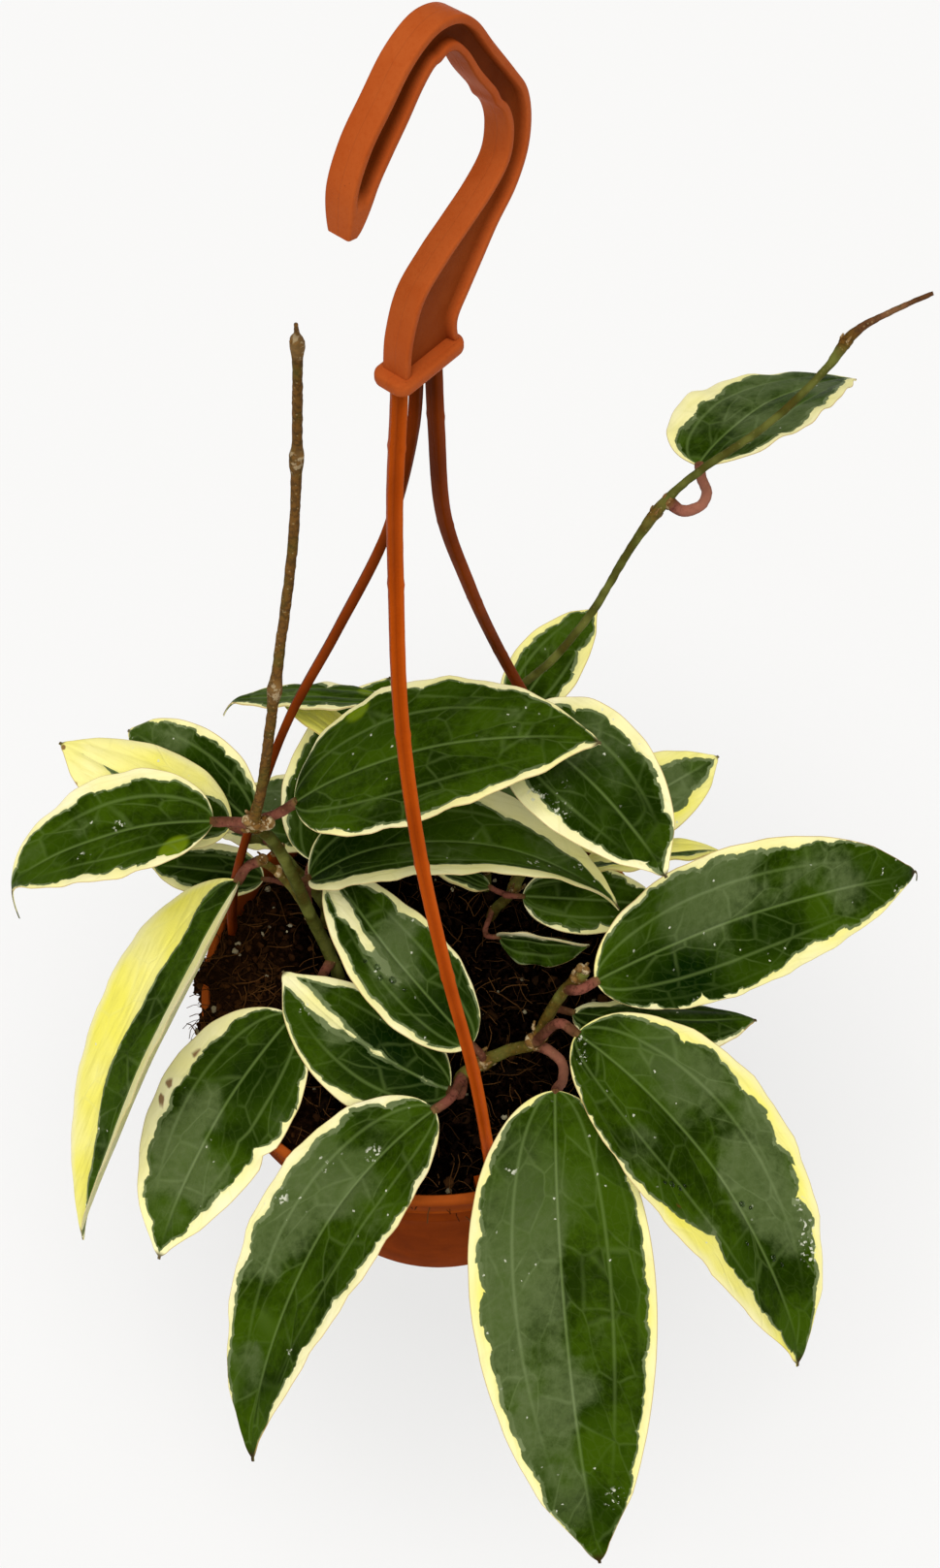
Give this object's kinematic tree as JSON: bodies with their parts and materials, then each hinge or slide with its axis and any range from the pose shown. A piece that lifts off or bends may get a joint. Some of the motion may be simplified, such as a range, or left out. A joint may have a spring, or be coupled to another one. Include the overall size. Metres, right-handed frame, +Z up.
{
  "type": "potted hoya in a hanging pot",
  "caption": "Climbing plant with thick variegated leaves and a long vine, in a round plastic pot that hangs from a flat hook by straps.",
  "frame": {"origin": "the point inside the hook's crest that bears on the rail it hangs from", "axes": "+Z up; +X runs across the flat hook, from its open mouth towards its back and the side the vine leans to; +Y through the hook's thickness"},
  "size_m": [0.3119, 0.258, 0.4179],
  "materials": {
    "pot_plastic": "satin",
    "hanger_plastic": "satin",
    "soil": "matte",
    "stem": "satin",
    "leaf": "satin",
    "leaf_yellow": "satin"
  },
  "bodies": {
    "root": {"pot": "pot_plastic", "soil": "soil", "hook": "hanger_plastic", "strap_front": "hanger_plastic", "strap_left": "hanger_plastic", "strap_right": "hanger_plastic", "stem_left": "stem", "stem_front": "stem", "stem_back_left": "stem", "stem_right": "stem", "vine": "stem", "leaf_front": "leaf", "leaf_front_left": "leaf", "leaf_front_right": "leaf", "leaf_right": "leaf", "leaf_left_low": "leaf", "leaf_inner_left": "leaf", "leaf_inner_middle": "leaf", "leaf_top": "leaf", "leaf_curled": "leaf", "leaf_top_right": "leaf", "leaf_back_right": "leaf", "leaf_right_under": "leaf", "leaf_right_small": "leaf", "leaf_right_low": "leaf", "leaf_small_folded": "leaf", "leaf_small_inner": "leaf", "leaf_left": "leaf", "leaf_left_yellow": "leaf_yellow", "leaf_left_back": "leaf", "leaf_left_under": "leaf", "leaf_left_folded": "leaf_yellow", "leaf_back_edge": "leaf", "leaf_yellow_tip": "leaf_yellow", "leaf_behind_top": "leaf", "leaf_vine_foot": "leaf", "leaf_vine": "leaf", "leaf_back": "leaf", "leaf_back_low": "leaf", "leaf_back_left": "leaf"}
  },
  "joints": []
}
